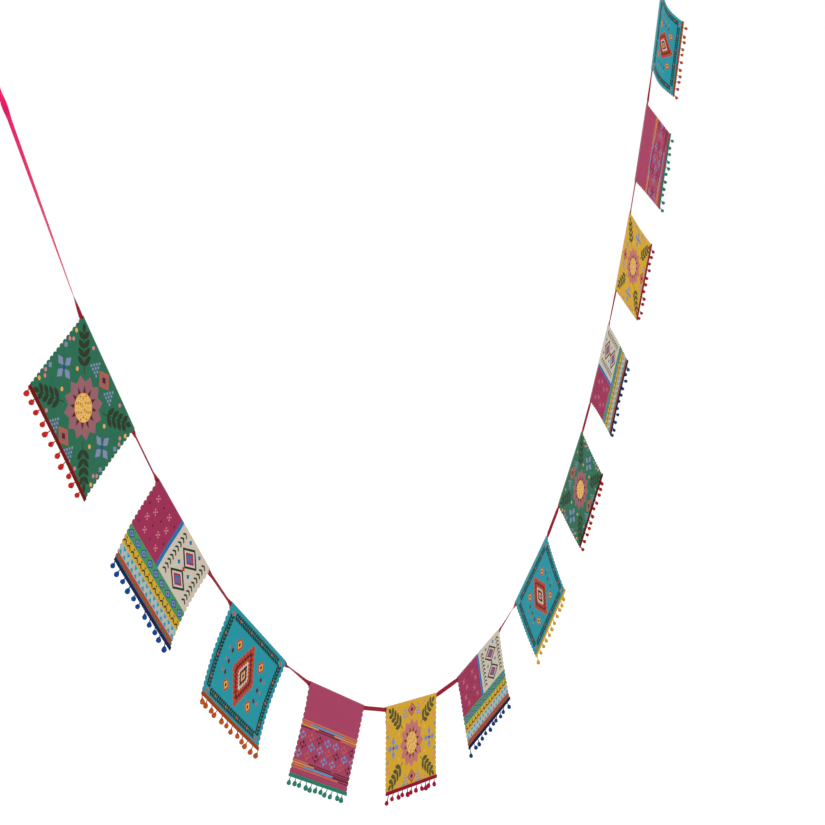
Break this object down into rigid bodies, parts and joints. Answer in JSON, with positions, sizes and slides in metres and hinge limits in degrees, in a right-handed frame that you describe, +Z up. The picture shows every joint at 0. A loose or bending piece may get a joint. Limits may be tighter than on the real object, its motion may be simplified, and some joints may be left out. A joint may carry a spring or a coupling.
{
  "type": "pennant banner",
  "caption": "Garland of scalloped rectangular card pennants with pom-pom trim, threaded on a flat satin ribbon that hangs between two tied loops.",
  "frame": {"origin": "where the left ribbon loop bears on its hook", "axes": "+X along the banner towards its right loop, +Y away from the viewer, +Z up"},
  "size_m": [1.9921, 0.0207, 1.3184],
  "materials": {
    "green_card": "satin print",
    "panelled_card": "satin print",
    "teal_card": "satin print",
    "pink_card": "satin print",
    "yellow_card": "satin print",
    "red_yarn": "matte, fuzzy",
    "blue_yarn": "matte, fuzzy",
    "orange_yarn": "matte, fuzzy",
    "sea_green_yarn": "matte, fuzzy",
    "crimson_yarn": "matte, fuzzy",
    "gold_yarn": "matte, fuzzy",
    "magenta_satin": "satin"
  },
  "bodies": {
    "ribbon": {"ribbon": "magenta_satin", "left_hanging_loop": "magenta_satin", "right_hanging_loop": "magenta_satin"},
    "pennant_01": {"pennant_01_green": "green_card", "trim_01_red": "red_yarn"},
    "pennant_02": {"pennant_02_panelled": "panelled_card", "trim_02_blue": "blue_yarn"},
    "pennant_03": {"pennant_03_teal": "teal_card", "trim_03_orange": "orange_yarn"},
    "pennant_04": {"pennant_04_pink": "pink_card", "trim_04_sea_green": "sea_green_yarn"},
    "pennant_05": {"pennant_05_yellow": "yellow_card", "trim_05_crimson": "crimson_yarn"},
    "pennant_06": {"pennant_06_panelled": "panelled_card", "trim_06_blue": "blue_yarn"},
    "pennant_07": {"pennant_07_teal": "teal_card", "trim_07_gold": "gold_yarn"},
    "pennant_08": {"pennant_08_green": "green_card", "trim_08_red": "red_yarn"},
    "pennant_09": {"pennant_09_panelled": "panelled_card", "trim_09_blue": "blue_yarn"},
    "pennant_10": {"pennant_10_yellow": "yellow_card", "trim_10_crimson": "crimson_yarn"},
    "pennant_11": {"pennant_11_pink": "pink_card", "trim_11_sea_green": "sea_green_yarn"},
    "pennant_12": {"pennant_12_teal": "teal_card", "trim_12_orange": "orange_yarn"}
  },
  "joints": [
    {"name": "swing_01", "type": "hinge", "parent": "ribbon", "child": "pennant_01", "pos_m": [0.1857, 0, -0.3429], "axis": [0.5501, 0, -0.8351], "range_deg": [-90, 90], "deforming": ["ribbon"]},
    {"name": "swing_02", "type": "hinge", "parent": "ribbon", "child": "pennant_02", "pos_m": [0.31583, 0, -0.52244], "axis": [0.632, 0, -0.775], "range_deg": [-90, 90], "deforming": ["ribbon"]},
    {"name": "swing_03", "type": "hinge", "parent": "ribbon", "child": "pennant_03", "pos_m": [0.4654, 0, -0.6735], "axis": [0.7753, 0, -0.6316], "range_deg": [-90, 90], "deforming": ["ribbon"]},
    {"name": "swing_04", "type": "hinge", "parent": "ribbon", "child": "pennant_04", "pos_m": [0.64825, 0, -0.78857], "axis": [0.9114, 0, -0.4116], "range_deg": [-90, 90], "deforming": ["ribbon"]},
    {"name": "swing_05", "type": "hinge", "parent": "ribbon", "child": "pennant_05", "pos_m": [0.85182, 0, -0.8425], "axis": [0.9961, 0, -0.0887], "range_deg": [-90, 90], "deforming": ["ribbon"]},
    {"name": "swing_06", "type": "hinge", "parent": "ribbon", "child": "pennant_06", "pos_m": [1.06655, 0, -0.81992], "axis": [0.9574, 0, 0.2889], "range_deg": [-90, 90], "deforming": ["ribbon"]},
    {"name": "swing_07", "type": "hinge", "parent": "ribbon", "child": "pennant_07", "pos_m": [1.26183, 0, -0.72558], "axis": [0.8255, 0, 0.5644], "range_deg": [-90, 90], "deforming": ["ribbon"]},
    {"name": "swing_08", "type": "hinge", "parent": "ribbon", "child": "pennant_08", "pos_m": [1.42375, 0, -0.58597], "axis": [0.6842, 0, 0.7293], "range_deg": [-90, 90], "deforming": ["ribbon"]},
    {"name": "swing_09", "type": "hinge", "parent": "ribbon", "child": "pennant_09", "pos_m": [1.55644, 0, -0.42191], "axis": [0.5755, 0, 0.8178], "range_deg": [-90, 90], "deforming": ["ribbon"]},
    {"name": "swing_10", "type": "hinge", "parent": "ribbon", "child": "pennant_10", "pos_m": [1.67064, 0, -0.23729], "axis": [0.4796, 0, 0.8775], "range_deg": [-90, 90], "deforming": ["ribbon"]},
    {"name": "swing_11", "type": "hinge", "parent": "ribbon", "child": "pennant_11", "pos_m": [1.76561, 0, -0.04781], "axis": [0.4199, 0, 0.9076], "range_deg": [-90, 90], "deforming": ["ribbon"]},
    {"name": "swing_12", "type": "hinge", "parent": "ribbon", "child": "pennant_12", "pos_m": [1.8497, 0, 0.15178], "axis": [0.3597, 0, 0.9331], "range_deg": [-90, 90], "deforming": ["ribbon"]}
  ]
}
